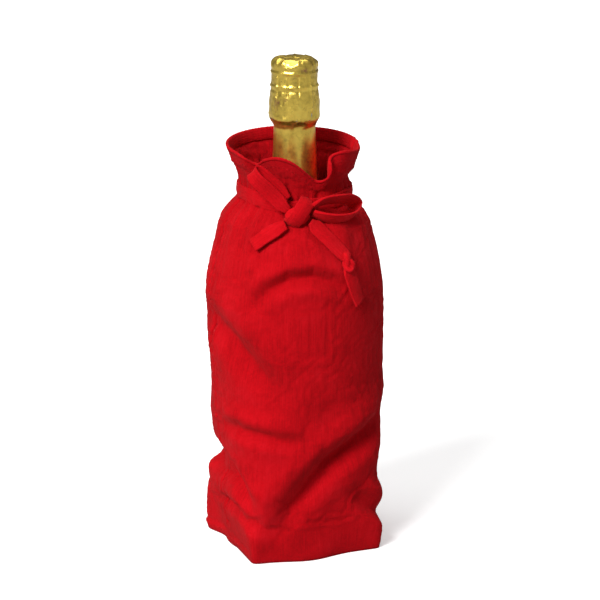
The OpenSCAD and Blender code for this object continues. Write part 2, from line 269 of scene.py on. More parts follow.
def cotton(name, colour, pitch=0.62 * MM, wear=0.12):
    """Matte brushed cotton: plain weave, slubs, faint mottling and a short nap."""
    n = Nodes(name)
    uv = n.coordinates("UV")
    spot_at = n.coordinates("Object")
    cloudy = n.noise(spot_at, 34, 4, 0.6)
    fine = n.noise(spot_at, 620, 3, 0.7)
    slub = n.noise(n.coordinates("UV", (1300, 60, 1)), 1.0, 2, 0.5)
    mottled = n.math("ADD", n.math("MULTIPLY", cloudy, 0.45),
                     n.math("ADD", n.math("MULTIPLY", fine, 0.25), n.math("MULTIPLY", slub, 0.3)))
    base = n.ramp(mottled, [(0.32, shade(colour, 0.58)), (0.52, colour),
                            (0.72, (min(1, colour[0] * 1.2), colour[1] * 2.4 + 0.002, colour[2] * 2.0 + 0.002))])
    n.set(Roughness=0.9, Sheen_Weight=wear, Sheen_Roughness=0.5, Specular_IOR_Level=0.06,
          Sheen_Tint=(1.0, 0.12, 0.12, 1))
    threads = n.bump(n.weave(uv, pitch), 0.16 * MM, 0.75)
    return n.finish(base, n.bump(fine, 0.22 * MM, 0.55, under=threads))


def thread_finish(name, colour):
    """Twisted sewing thread."""
    n = Nodes(name)
    ply = n.add("ShaderNodeTexWave", wave_type="BANDS", bands_direction="DIAGONAL", Scale=900)
    n.link(n.coordinates("Object"), ply.inputs["Vector"])
    base = n.ramp(ply.outputs["Fac"], [(0.0, shade(colour, 0.7)), (1.0, shade(colour, 1.25))])
    n.set(Roughness=0.85, Sheen_Weight=0.05, Specular_IOR_Level=0.1)
    return n.finish(base, n.bump(ply.outputs["Fac"], 0.08 * MM, 0.6))


def foil_finish(name, colour):
    """Thin gold foil: satin metal, with large random dark brown patches in its colour that are painted shade and
    painted reflection for its shaded creases and the dark surroundings it mirrors.
    """
    n = Nodes(name)
    spot_at = n.coordinates("Object")
    creases = n.add("ShaderNodeTexVoronoi", feature="DISTANCE_TO_EDGE", Scale=230)
    n.link(n.coordinates("Object", (1, 1, 0.55)), creases.inputs["Vector"])
    cloudy = n.noise(spot_at, 75, 4, 0.6)
    fine = n.noise(spot_at, 420, 4, 0.7)
    tone = n.math("ADD", n.math("MULTIPLY", cloudy, 0.75), n.math("MULTIPLY", fine, 0.25))
    # painted shade and painted reflection: the dark brown lowest stops darken random patches of the foil in place
    # of its shaded creases and dark reflections
    base = n.ramp(tone, [(0.32, (colour[0] * 0.34, colour[1] * 0.22, colour[2] * 0.6)),
                         (0.43, shade(colour, 0.72)), (0.56, colour),
                         (0.75, (min(1, colour[0] * 1.12), colour[1] * 1.15, colour[2] * 1.4))])
    n.link(n.math("ADD", n.math("MULTIPLY", fine, 0.22), 0.2), n.shader.inputs["Roughness"])
    n.set(Metallic=0.92)
    folded = n.bump(n.math("MINIMUM", creases.outputs["Distance"], 0.06), 0.9 * MM, 0.6)
    return n.finish(base, n.bump(fine, 0.25 * MM, 0.5, under=folded))


def glass_finish(name, colour):
    """Green glass with a faint waviness."""
    n = Nodes(name)
    n.set(Base_Color=(*colour, 1), Roughness=0.04, IOR=1.52, Transmission_Weight=0.85)
    wavy = n.noise(n.coordinates("Object"), 28, 2, 0.4)
    n.link(n.bump(wavy, 0.4 * MM, 0.15), n.shader.inputs["Normal"])
    return n.material


def mottled_finish(name, dark, light, scale, rough, bump=0.1 * MM, metallic=0.0, stretch=(1, 1, 1)):
    """A plain surface with grain: cork, paper, tin plate, wire and wine."""
    n = Nodes(name)
    grain = n.noise(n.coordinates("Object", stretch), scale, 5, 0.65)
    n.set(Roughness=rough, Metallic=metallic)
    return n.finish(n.ramp(grain, [(0.35, dark), (0.65, light)]), n.bump(grain, bump, 0.6))


def floor_finish(name, colour):
    """Pale seamless floor that throws little light back up."""
    n = Nodes(name)
    path = n.add("ShaderNodeLightPath").outputs["Is Camera Ray"]
    tone = n.ramp(path, [(0.0, shade(colour, 0.4)), (1.0, colour)])
    n.link(tone, n.shader.inputs["Base Color"])
    n.set(Roughness=0.9, Specular_IOR_Level=0.05, Emission_Color=(1, 1, 1, 1))
    n.link(n.math("MULTIPLY", path, 0.3), n.shader.inputs["Emission Strength"])
    return n.material


MATERIALS = {}


def material(key):
    """The named finish, made once."""
    c = colours()
    cloth, thread = tuple(c.cloth), tuple(c.thread)
    makers = {
        "bag_cloth": (cotton, "bag_cotton", cloth),
        "tie_tape": (cotton, "tie_tape_cotton", shade(cloth, 1.12), 0.55 * MM, 0.16),
        "seam_thread": (thread_finish, "sewing_thread", thread),
        "gold_foil": (foil_finish, "gold_foil", tuple(c.foil)),
        "bottle_glass": (glass_finish, "bottle_glass", tuple(c.glass)),
        "wine": (mottled_finish, "wine", (0.55, 0.42, 0.1), (0.62, 0.48, 0.13), 8, 0.1),
        "cork": (mottled_finish, "cork", (0.28, 0.16, 0.08), (0.6, 0.42, 0.25), 240, 0.85, 0.3 * MM),
        "cap_plate": (mottled_finish, "tin_plate", (0.5, 0.48, 0.42), (0.66, 0.63, 0.56), 300, 0.35,
                      0.1 * MM, 1.0),
        "cage_wire": (mottled_finish, "cage_wire", (0.42, 0.4, 0.34), (0.62, 0.59, 0.5), 700, 0.32,
                      0.1 * MM, 1.0),
        "label_paper": (mottled_finish, "label_paper", (0.74, 0.71, 0.62), (0.86, 0.84, 0.77), 500, 0.8,
                        0.1 * MM, 0.0, (1, 1, 3)),
        "floor": (floor_finish, "studio_floor", tuple(c.floor)),
    }
    if key not in MATERIALS:
        maker, *values = makers[key]
        MATERIALS[key] = maker(*values)
    return MATERIALS[key]


# ---- mesh helpers
def mesh_object(name, bm, finish, smooth_shade=True):
    """Turns a bmesh into an object at the origin with one finish."""
    mesh = bpy.data.meshes.new(name)
    bm.to_mesh(mesh)
    bm.free()
    mesh.materials.append(material(finish))
    mesh.polygons.foreach_set("use_smooth", [smooth_shade] * len(mesh.polygons))
    obj = bpy.data.objects.new(name, mesh)
    bpy.context.scene.collection.objects.link(obj)
    return obj


def ride_as(obj, body, slot_name, *nodes):
    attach(obj, body)
    if nodes:
        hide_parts(*nodes)
    return obj


def runs(points):
    """Length of the line of points up to each of them."""
    run = [0.0]
    for a, b in zip(points, points[1:]):
        run.append(run[-1] + (b - a).length)
    return run


def route_length(points):
    return runs(points)[-1]


def join_rings(bm, uv, a, b, uv_at):
    """Faces between two rings. uv_at(on_b, i, j) is the UV of vertex i in face j."""
    count = len(a)
    for j in range(count):
        corners = ((0, j), (1, j), (1, j + 1), (0, j + 1))
        face = bm.faces.new([(a, b)[on_b][i % count] for on_b, i in corners])
        for loop, (on_b, i) in zip(face.loops, corners):
            loop[uv].uv = uv_at(on_b, i, j)


def outward(bm):
    bmesh.ops.recalc_face_normals(bm, faces=bm.faces[:])
    return bm


def fine_route(points, step=1.2 * MM):
    """A smooth curve through the points, as evenly spaced points."""
    pts = [Vector(p) for p in points]
    ends = [2 * pts[0] - pts[1]] + pts + [2 * pts[-1] - pts[-2]]
    fine = []
    for a, b, c, d in zip(ends, ends[1:], ends[2:], ends[3:]):
        for k in range(12):
            t = k / 12
            fine.append(0.5 * ((2 * b) + (c - a) * t + (2 * a - 5 * b + 4 * c - d) * t * t
                               + (3 * b - a - 3 * c + d) * t ** 3))
    fine.append(pts[-1])
    run = runs(fine)
    count = max(4, round(run[-1] / step))
    even, at = [], 0
    for k in range(count + 1):
        want = run[-1] * k / count
        while at < len(run) - 2 and run[at + 1] < want:
            at += 1
        span = run[at + 1] - run[at]
        even.append(fine[at].lerp(fine[at + 1], (want - run[at]) / span if span else 0))
    return even


# Section of the folded tape: share of the half width, share of the half thickness
TAPE_SECTION = [(-1.0, 0.0), (-0.97, 0.62), (-0.88, 0.98), (-0.74, 0.78), (-0.5, 0.92), (-0.2, 1.0),
                (0.2, 1.0), (0.5, 0.92), (0.74, 0.78), (0.88, 0.98), (0.97, 0.62)]
TAPE_SECTION += [(1.0, 0.0)] + [(-x, -y) for x, y in TAPE_SECTION[1:]]


def tape_mesh(points, wide, width, thick, cup, ripple, seed, pinch=()):
    """Folded tape lofted along points. wide(point, direction) gives the direction of its width.

    cup bends the section across its width, ripple lets the edges wander, and pinch holds
    (place along the tape, reach, share of the width left) where the tape is squeezed.
    """
    bm = bmesh.new()
    uv = bm.loops.layers.uv.new("UVMap")
    rings, run = [], 0.0
    last = len(points) - 1
    for i, p in enumerate(points):
        run += (p - points[i - 1]).length if i else 0.0
        along = (points[min(i + 1, last)] - points[max(i - 1, 0)]).normalized()
        w = wide(p, along)
        w = (w - along * w.dot(along)).normalized()
        n = along.cross(w)
        share = 1.0
        for at, reach, left in pinch:
            share *= 1 - (1 - left) * np.exp(-((run - at) / reach) ** 2)
        wave = noise.noise(Vector((run * 90, seed, 0.0))) * ripple
        ring = []
        for x, y in TAPE_SECTION:
            edge = noise.noise(Vector((run * 140, seed + 7 * x, 3.0))) * ripple * 0.5
            bow = cup * (x * x - 0.4)
            thicker = 1 + (1 - share) * 1.6
            ring.append(bm.verts.new(p + w * (x * width / 2 * share + edge)
                                     + n * (y * thick / 2 * thicker + bow + wave)))
        rings.append((run, ring))
    k = len(TAPE_SECTION)
    for (run_a, a), (run_b, b) in zip(rings, rings[1:]):
        join_rings(bm, uv, a, b, lambda on_b, i, j: (
            (-1 if j >= k // 2 else 1) * TAPE_SECTION[i % k][0] * width / 2, (run_a, run_b)[on_b]))
    bm.faces.new(rings[0][1][::-1])
    bm.faces.new(rings[-1][1])
    return outward(bm)


# ---- folds of the bag
# Each crease: (compass angle, height in mm) points, depth, half width and lip in mm
CREASES = [
    # long valley that falls from the left edge across the front
    ([(168, 160), (-172, 156), (-160, 150), (-147, 141), (-132, 127), (-120, 114)], 6.4, 9.0, 2.6),
    # crescent above the belly
    ([(-136, 174), (-127, 183), (-113, 191), (-98, 192), (-84, 188), (-74, 181)], 4.4, 4.6, 3.0),
    # long valley that falls from the right edge to the base
    ([(-32, 92), (-52, 84), (-70, 75), (-86, 65), (-100, 51), (-112, 38), (-119, 24)], 8.5, 8.0, 4.4),
    # deep notch in the left side
    ([(128, 53), (150, 56), (170, 58), (-172, 58), (-158, 56), (-147, 49), (-139, 41), (-133, 32)], 10.0, 5.0, 1.4),
    # soft crease above the notch
    ([(-168, 88), (-150, 89), (-125, 86), (-104, 82)], 3.4, 4.6, 2.6),
    # crease above the left foot
    ([(168, 30), (-172, 32), (-150, 32), (-135, 27), (-120, 20)], 3.8, 4.2, 2.0),
    # hollow beside the right foot
    ([(-64, 42), (-52, 33), (-42, 25), (-34, 18)], 5.0, 5.5, 2.4),
    # shallow dent in the right side
    ([(-44, 54), (-26, 48), (-8, 46), (12, 50)], 3.2, 6.0, 0.8),
    # folds of the hidden back
    ([(-2, 150), (18, 136), (44, 118), (66, 108)], 4.4, 6.5, 2.4),
    ([(34, 186), (58, 194), (84, 190), (106, 180), (122, 168)], 4.0, 5.5, 2.4),
    ([(22, 72), (42, 60), (62, 58), (86, 66), (104, 84)], 6.4, 6.0, 3.0),
    ([(88, 30), (112, 42), (134, 44), (146, 34)], 4.4, 5.0, 2.2),
    ([(96, 140), (120, 126), (138, 120), (150, 126)], 4.2, 6.0, 2.2),
]
# Rim of the collar: compass angle, radius and height in mm
RIM = [(-180, 44.5, 267), (-168, 45, 266.5), (-158, 44.5, 264.5), (-150, 39, 260.5), (-143, 41.5, 262),
       (-134, 44.5, 265.5), (-124, 45.5, 267), (-113, 44.5, 264.5), (-103, 41.5, 259), (-95, 39, 254),
       (-89, 38, 250.9), (-84.5, 39.6, 250.6), (-80.5, 43, 253), (-78, 44.5, 257), (-76, 42.5, 261),
       (-74, 39.5, 264), (-70, 39, 266.5), (-63, 42, 268), (-54, 43.5, 267.5), (-40, 42.5, 266),
       (-25, 42.5, 265.5), (-10, 42.5, 266.5), (10, 43, 269), (35, 43, 270.5), (60, 43, 271),
       (85, 43, 271.5), (110, 43.5, 271), (135, 44, 270), (158, 44.5, 268.5)]
# Broad hollows: compass angle and its spread in degrees, height and its reach, and depth in mm
DENTS = [(160, 42, 112, 38, 3.0), (158, 42, 57.5, 8.5, 11.0), (158, 40, 66, 17, 3.5),
         (-20, 40, 56, 26, 4.6), (-20, 45, 248, 4.5, 2.4), (70, 45, 90, 30, 3.0)]
# How the foot stands off a square: compass angle and its spread in degrees, reach up in mm, mm outwards
FOOT = [(147, 9, 24, 6.5), (127, 9, 24, -6.0), (-98, 24, 18, 6.5)]
# Puffs between the gathers below the tie: compass angle, half width in degrees, height in mm
PUFFS = [(-164, 11, 2.2), (-141, 10, 2.6), (-121, 9, 1.4), (-96, 11, 1.8), (-70, 10, 2.6), (-46, 11, 2.8),
         (-22, 9, 2.2), (2, 12, 2.6), (30, 11, 2.8), (58, 12, 2.4), (88, 11, 3.0), (116, 12, 2.4),
         (146, 11, 2.8), (172, 9, 2.0)]


def wrapped(a, b):
    """Signed angle from b to a in degrees, between -180 and 180."""
    return (np.asarray(a) - b + 180) % 360 - 180


def crease_depth(angle, z, path, depth, width, lip):
    """Radial change of one crease at angles (degrees) and heights (mm)."""
    best = np.full(angle.shape, 1e9)
    side = np.zeros(angle.shape)
    along = np.zeros(angle.shape)
    start_angle = path[0][0]
    pts = [(wrapped(a, start_angle) * 1.0, h) for a, h in path]
    u = wrapped(angle, start_angle)
    u = np.where(u < -130, u + 360, u) if pts[-1][0] > 0 else np.where(u > 130, u - 360, u)
    lengths = [np.hypot(b[0] - a[0], b[1] - a[1]) for a, b in zip(pts, pts[1:])]
    total, run = sum(lengths), 0.0
    for (a, b), length in zip(zip(pts, pts[1:]), lengths):
        dx, dy = (b[0] - a[0]) / length, (b[1] - a[1]) / length
        t = np.clip((u - a[0]) * dx + (z - a[1]) * dy, 0, length)
        px, py = u - a[0] - t * dx, z - a[1] - t * dy
        d = np.hypot(px, py)
        nearer = d < best
        best = np.where(nearer, d, best)
        side = np.where(nearer, np.sign(dx * py - dy * px), side)
        along = np.where(nearer, (run + t) / total, along)
        run += length
    if pts[-1][0] < 0:
        side = -side
    taper = np.sin(pi * np.clip(along, 0.02, 0.98)) ** 0.55
    d = best * side
    valley = -depth * np.exp(-(d / width) ** 2)
    upper = lip * np.exp(-((d - 1.9 * width) / (1.3 * width)) ** 2)
    lower = 0.45 * lip * np.exp(-((d + 1.8 * width) / (1.2 * width)) ** 2)
    return (valley + upper + lower) * taper


def band_height(angle):
    """The band dips at the knot and rises at the left side."""
    return (1.0 - 3.4 * np.exp(-(wrapped(angle, KNOT_ANGLE) / 38) ** 2)
            + 2.4 * np.exp(-(wrapped(angle, 178) / 42) ** 2)) * MM


def rim_at(angle, which):
    """Radius (1) or height (2) of the rim at angles in degrees, smooth and closed."""
    knots = sorted(RIM)
    a = np.array([k[0] for k in knots], dtype=float)
    v = np.array([k[which] for k in knots], dtype=float)
    a = np.concatenate((a[-2:] - 360, a, a[:2] + 360))
    v = np.concatenate((v[-2:], v, v[:2]))
    angle = (np.asarray(angle) + 180) % 360 - 180
    i = np.clip(np.searchsorted(a, angle, side="right") - 1, 1, len(a) - 3)
    t = (angle - a[i]) / (a[i + 1] - a[i])
    m0 = (v[i + 1] - v[i - 1]) / (a[i + 1] - a[i - 1])
    m1 = (v[i + 2] - v[i]) / (a[i + 2] - a[i])
    span = a[i + 1] - a[i]
    return ((2 * t ** 3 - 3 * t ** 2 + 1) * v[i] + (t ** 3 - 2 * t ** 2 + t) * span * m0
            + (3 * t ** 2 - 2 * t ** 3) * v[i + 1] + (t ** 3 - t ** 2) * span * m1)


def bag_shape(angle, z0, gather):
    """Radius and height in metres of the draped bag at compass angles and nominal heights."""
    zmm = z0 / MM
    a = np.radians(angle)
    n = squareness(z0)
    c, s = np.abs(np.cos(a)), np.abs(np.sin(a))
    r = bag_half(z0) / (c ** n + s ** n) ** (1 / n)
    z = z0.copy()
    tie, low, top, rim = TIE_Z / MM, TIED_LOW / MM, TIED_TOP / MM, RIM_Z / MM
    fold = np.zeros_like(r)
    for path, depth, width, lip in CREASES:
        fold += crease_depth(angle, zmm, path, depth, width, lip)
    for at, half, height in PUFFS:
        swell = np.exp(-(wrapped(angle, at) / half) ** 2)
        fold += height * swell * np.exp(-((zmm - (low - 13)) / 15) ** 2)
    fold += 1.6 * np.exp(-((zmm - 221) / 9) ** 2)
    for at, spread, height, reach, depth in DENTS:
        fold -= depth * np.exp(-(wrapped(angle, at) / spread) ** 2 - ((zmm - height) / reach) ** 2)
    # fine gathers fan out from the tie and die away below and above it
    twist = 1.6 * np.sin(3 * a + 0.8) + 1.1 * np.sin(5 * a + 2.1) + 0.5 * np.sin(8 * a)
    below, above = np.clip(low - zmm, 0, 200), np.clip(zmm - top, 0, 60)
    for count, reach, share_ in ((30, 9, 1.0), (19, 20, 0.85), (11, 38, 0.6)):
        wave = np.abs(np.sin((count * a + twist * (count / 15)) / 2 + count))
        sharp = (1 - wave) ** 1.5 - 0.3
        fold -= gather / MM * share_ * sharp * np.exp(-below / reach) * np.exp(-above / (reach * 0.8))
    r += fold * MM * smooth((zmm - 4) / 14) * (1 - smooth((zmm - rim + 16) / 14))
    for at, spread, reach, outwards in FOOT:
        r += outwards * MM * np.exp(-(wrapped(angle, at) / spread) ** 2 - (zmm / reach) ** 2)
    # the collar opens out to the rim's own wavy outline
    t = np.clip((zmm - top) / (rim - top), 0, 1)
    flare = smooth(t) * 0.55 + t ** 2 * 0.45
    rim_r, rim_z = rim_at(angle, 1) * MM, rim_at(angle, 2) * MM
    in_collar = zmm > top
    base_r = np.where(in_collar, TIED_R + (r - bag_half(z0)), r)
    r = np.where(in_collar, mix(base_r, rim_r, flare), r)
    z = np.where(in_collar, mix(TIED_TOP, rim_z, t), z)
    z = z + band_height(angle) * np.exp(-((zmm - tie) / 20) ** 2)
    return r, z


def settle(tube, hold, growth, frames=16):
    """Lets the cloth buckle and settle for a few frames, then applies the result."""
    group = tube.vertex_groups.new(name="hold")
    for level in np.unique(hold):
        group.add([int(i) for i in np.nonzero(hold == level)[0]], float(level), "REPLACE")
    cloth = tube.modifiers.new("Cloth", "CLOTH")
    s = cloth.settings
    s.quality = 6
    s.mass = 0.15
    s.tension_stiffness = s.compression_stiffness = 22
    s.shear_stiffness = 9
    s.bending_stiffness = 3.0
    s.tension_damping = s.compression_damping = 8
    s.shear_damping = 8
    s.air_damping = 3
    s.vertex_group_mass = "hold"
    s.pin_stiffness = 6
    s.shrink_min = s.shrink_max = -growth
    s.effector_weights.gravity = 0.35
    cloth.collision_settings.use_collision = False
    cloth.collision_settings.use_self_collision = False
    cloth.point_cache.frame_start, cloth.point_cache.frame_end = 1, frames
    scene = bpy.context.scene
    for f in range(1, frames + 1):
        scene.frame_set(f)
    evaluated = tube.evaluated_get(bpy.context.evaluated_depsgraph_get())
    co = np.empty(len(tube.data.vertices) * 3)
    evaluated.data.vertices.foreach_get("co", co)
    tube.modifiers.remove(cloth)
    scene.frame_set(1)
    return co.reshape(-1, 3)


def bag_tube():
    """The whole bag as one closed tube of vertices, with its cut sizes as UV, and its layout."""
    s = sizes()
    cols, rows, floor_rows = s.columns, s.wall_rows, 8
    z_fine = np.linspace(0, RIM_Z, 900)
    run = np.concatenate(([0], np.cumsum(np.hypot(np.diff(bag_half(z_fine)), np.diff(z_fine)))))
    wall_z = np.interp(np.linspace(0, run[-1], rows + 1), run, z_fine)
    bm = bmesh.new()
    bmesh.ops.create_grid(bm, x_segments=cols, y_segments=rows + floor_rows, size=1, calc_uvs=False)
    xy = np.array([v.co[:2] for v in bm.verts])
    angle = xy[:, 0] * 180
    row = np.rint((xy[:, 1] + 1) / 2 * (rows + floor_rows)).astype(int)
    wall = np.clip(row - floor_rows, 0, rows)
    z0 = wall_z[wall]
    r, z = bag_shape(angle, z0, s.gather)
    r = r * np.clip(row / floor_rows, 0, 1)
    co = np.stack((r * np.cos(np.radians(angle)), r * np.sin(np.radians(angle)), z), axis=1)
    cut = np.stack((np.radians(angle) * CUT_GIRTH / tau,
                    np.interp(z0, z_fine, run) + BASE_HALF * np.clip(row / floor_rows, 0, 1)), axis=1)
    uv = bm.loops.layers.uv.new("UVMap")
    for face in bm.faces:
        for loop in face.loops:
            loop[uv].uv = cut[loop.vert.index]
    for v, p in zip(bm.verts, co):
        v.co = p
    for name, values in (("angle", angle), ("height", z0), ("row", row)):
        layer = bm.verts.layers.float.new(name)
        for v, value in zip(bm.verts, values):
            v[layer] = value
    bmesh.ops.remove_doubles(bm, verts=bm.verts[:], dist=1e-6)
    bm.normal_update()
    # the base has to face down
    if min(bm.faces, key=lambda f: f.calc_center_median().z).normal.z > 0:
        bmesh.ops.reverse_faces(bm, faces=bm.faces[:])
    return bm, floor_rows, wall_z


def bottle_clearance(z):
    """Least radius of the cloth's outside at heights z, so that the bottle fits inside."""
    body = BOTTLE_R + 2.2 * MM
    neck = 20 * MM
    return mix(body, neck, smooth((z - 120 * MM) / (115 * MM)))


# ---- the bag's cloth as a grid
class Cloth:
    """Rows and columns of the settled cloth, from the base's middle to the rim."""

    def __init__(self, grid, heights):
        self.grid, self.heights = grid, heights
        run = np.linalg.norm(np.diff(grid, axis=0), axis=2)
        self.run = np.vstack((np.zeros(grid.shape[1]), np.cumsum(run, axis=0)))
        along = np.gradient(grid, axis=0)
        around = np.roll(grid, -1, axis=1) - np.roll(grid, 1, axis=1)
        normal = np.cross(around, along)
        self.normal = normal / np.maximum(np.linalg.norm(normal, axis=2, keepdims=True), 1e-9)

    def spot(self, column, row, off=0.0):
        """Point and outward normal at fractional column and row, stood off the cloth."""
        cols, rows = self.grid.shape[1], self.grid.shape[0]
        c0, r0 = int(np.floor(column)), int(min(max(row, 0), rows - 2))
        fc, fr = column - c0, min(max(row - r0, 0.0), 1.0)
        out = []
        for field in (self.grid, self.normal):
            a = field[r0, c0 % cols] * (1 - fc) + field[r0, (c0 + 1) % cols] * fc
            b = field[r0 + 1, c0 % cols] * (1 - fc) + field[r0 + 1, (c0 + 1) % cols] * fc
            out.append(Vector(a * (1 - fr) + b * fr))
        normal = out[1].normalized()
        return out[0] + normal * off, normal

    def column(self, angle):
        return (angle + 180) / 360 * self.grid.shape[1]

    def row(self, height):
        """Fractional row of the wall at a height that the cloth was cut for."""
        return float(np.interp(height, self.heights, np.arange(len(self.heights))))

    def row_below_rim(self, column, distance):
        run = self.run[:, int(round(column)) % self.grid.shape[1]]
        return float(np.interp(run[-1] - distance, run, np.arange(len(run))))


CLOTH = {}


def hold_weights(height, row, floor_rows):
    """How firmly each vertex stays in its drawn place while the cloth settles."""
    tie = np.exp(-((height - TIE_Z) / (9 * MM)) ** 2)
    foot = 1 - smooth((height - 2 * MM) / (22 * MM))
    rim = 0.45 * smooth((height - RIM_Z + 9 * MM) / (8 * MM))
    weight = np.clip(0.16 + 0.84 * np.maximum(tie, foot) + rim, 0, 1)
    weight[row <= floor_rows + 1] = 1.0
    return np.round(weight * 25) / 25


def sewn_seams(co, angle, height):
    """Draws the side seams in, with puckers beside them."""
    foot = np.minimum(np.abs(wrapped(angle, 0)), np.abs(wrapped(angle, 180)))
    reach = np.radians(foot) * 50 * MM
    wall = smooth((height - 3 * MM) / (8 * MM))
    groove = -0.9 * MM * np.exp(-(reach / (1.3 * MM)) ** 2)
    lips = 0.55 * MM * np.exp(-((reach - 3.2 * MM) / (2 * MM)) ** 2)
    ripple = np.sin(height / MM * 0.95 + 2 * np.sin(height / MM * 0.11)) * np.exp(-(reach / (6 * MM)) ** 2)
    change = (groove + lips + 0.4 * MM * ripple) * wall
    up = height / MM
    strip = 1.1 * np.exp(-((up - 4.2) / 1.7) ** 2) - 1.3 * np.exp(-((up - 7.6) / 1.1) ** 2)
    change = change + strip * MM * (1 - smooth((foot - 36) / 8)) * (0.75 + 0.35 * np.sin(foot * 0.9))
    flat = np.hypot(co[:, 0], co[:, 1])
    out = co.copy()
    out[:, :2] *= ((flat + change) / np.maximum(flat, 1e-6))[:, None]
    return out


def under_tapes(co):
    """Presses the cloth in where the bow's tapes lie on it."""
    spots = []
    for route in (TAIL_RIGHT + [TAIL_KNOT] + TAIL_TIP, TAIL_LEFT, LOOP_LEFT):
        spots += fine_route([place(p) for p in route], 2.5 * MM)
    out = co.copy()
    flat = np.hypot(out[:, 0], out[:, 1])
    for p in spots:
        near = np.linalg.norm(out - np.array(p), axis=1)
        close = near < 9 * MM
        limit = np.hypot(p.x, p.y) - 1.7 * MM + (near / (9 * MM)) ** 2 * 3 * MM
        press = close & (flat > limit)
        scale = np.where(press, limit / np.maximum(flat, 1e-6), 1.0)
        out[:, :2] *= scale[:, None]
        flat *= scale
    return out


def make_cloth():
    """Draws, settles and finishes the bag's cloth, once."""
    if CLOTH:
        return CLOTH["made"]
    s = sizes()
    bm, floor_rows, heights = bag_tube()
    layers = [bm.verts.layers.float[name] for name in ("angle", "height", "row")]
    angle, height, row = (np.array([v[layer] for v in bm.verts]) for layer in layers)
    co = np.array([v.co[:] for v in bm.verts])
    mesh = bpy.data.meshes.new("settling_cloth")
    bm.to_mesh(mesh)
    tube = bpy.data.objects.new("settling_cloth", mesh)
    bpy.context.scene.collection.objects.link(tube)
    settled = settle(tube, hold_weights(height, row, floor_rows), s.growth)
    shift = settled - co
    size = np.linalg.norm(shift, axis=1, keepdims=True)
    co = co + shift * np.minimum(1.0, SETTLE_CAP / np.maximum(size, 1e-9))
    bpy.data.objects.remove(tube)
    bpy.data.meshes.remove(mesh)
    co = sewn_seams(co, angle, height)
    co = under_tapes(co)
    flat = np.hypot(co[:, 0], co[:, 1])
    least = np.where(row >= floor_rows, bottle_clearance(co[:, 2]) + s.cloth_t, 0)
    co[:, :2] *= (np.maximum(flat, least) / np.maximum(flat, 1e-6))[:, None]
    co[:, 2] = np.where(row > floor_rows, np.maximum(co[:, 2], 0.0), 0.0)
    for v, p in zip(bm.verts, co):
        v.co = p
    rows, cols = int(row.max()) + 1, s.columns
    grid = np.zeros((rows, cols, 3))
    column = np.rint((angle + 180) / 360 * cols).astype(int) % cols
    grid[row.astype(int), column] = co
    grid[0, :] = co[row == 0][0]
    heights = np.concatenate((np.full(floor_rows, -1.0), heights))
    heights[:floor_rows] = np.linspace(-0.01, -0.001, floor_rows)
    CLOTH["made"] = bm, Cloth(grid, heights)
    return CLOTH["made"]


def half_panel(name, front):
    """One side of the bag, from seam to seam, with the cloth's thickness inwards."""
    bm = make_cloth()[0].copy()
    middles = [(face, face.calc_center_median()) for face in bm.faces]
    away = [face for face, middle in middles if (atan2(middle.y, middle.x) < 0) != front]
    bmesh.ops.delete(bm, geom=away, context="FACES")
    obj = mesh_object(name, bm, "bag_cloth")
    wall = obj.modifiers.new("Cloth thickness", "SOLIDIFY")
    wall.thickness = sizes().cloth_t
    wall.offset = -1
    wall.use_rim = True
    return ride_as(obj, BAG, "bag_cloth", "front_panel" if front else "back_panel")


# ---- stitches and strands
def stitch_row(name, spots, node, radius=0.3 * MM):
    """A row of short stitches: spots holds (middle, direction, normal, length)."""
    bm = bmesh.new()
    for middle, along, normal, length in spots:
        along = along.normalized()
        across = along.cross(normal).normalized()
        up = across.cross(along)
        turn = Matrix((along, across, up)).transposed().to_4x4()
        turn.translation = middle
        bmesh.ops.create_uvsphere(bm, u_segments=8, v_segments=5, radius=1.0,
                                  matrix=turn @ Matrix.Diagonal((length / 2, radius, radius, 1)))
    return ride_as(mesh_object(name, bm, "seam_thread"), BAG, "seam_thread", node)


def sewn_line(line, length, pitch):
    """Places stitches evenly along a line of (point, normal)."""
    points, normals = zip(*line)
    run = runs(points)
    spots, at, i = [], pitch / 2, 0
    while at < run[-1] - pitch / 2:
        while run[i + 1] < at:
            i += 1
        t = (at - run[i]) / max(run[i + 1] - run[i], 1e-9)
        spots.append((points[i].lerp(points[i + 1], t), points[i + 1] - points[i], normals[i], length))
        at += pitch
    return spots


# ---- tape pieces
def lay_left(p, along):
    """The left loop's width runs along the collar, square to the loop."""
    axis = place(LOOP_LEFT[4]) - place(LOOP_LEFT[0])
    return Vector((p.x, p.y, 0)).normalized().cross(axis)


def lay_right(p, along):
    """The right loop stands out from the bag with its front edge raised."""
    return Vector((p.x, p.y, 0)).normalized() * 0.74 + Vector((0, 0, 0.67))


def lay_flat(p, along):
    """A tail's width lies on the bag's shoulder."""
    return along.cross(Vector((p.x, p.y, 0)).normalized() + Vector((0, 0, 0.6)))


def knot_frame():
    out = polar(1, KNOT_ANGLE, 0)
    right = Vector((0, 0, 1)).cross(out)
    centre = polar(float(bag_half(TIE_Z)) + 6.8 * MM, KNOT_ANGLE, TIE_Z - KNOT_DROP - 0.8 * MM)
    return centre, right, out


def direction(azimuth, height):
    """Unit vector from the middle towards a point at these angles, azimuth 0 in front."""
    a, h = radians(azimuth), radians(height)
    return Vector((sin(a) * cos(h), -cos(a) * cos(h), sin(h)))


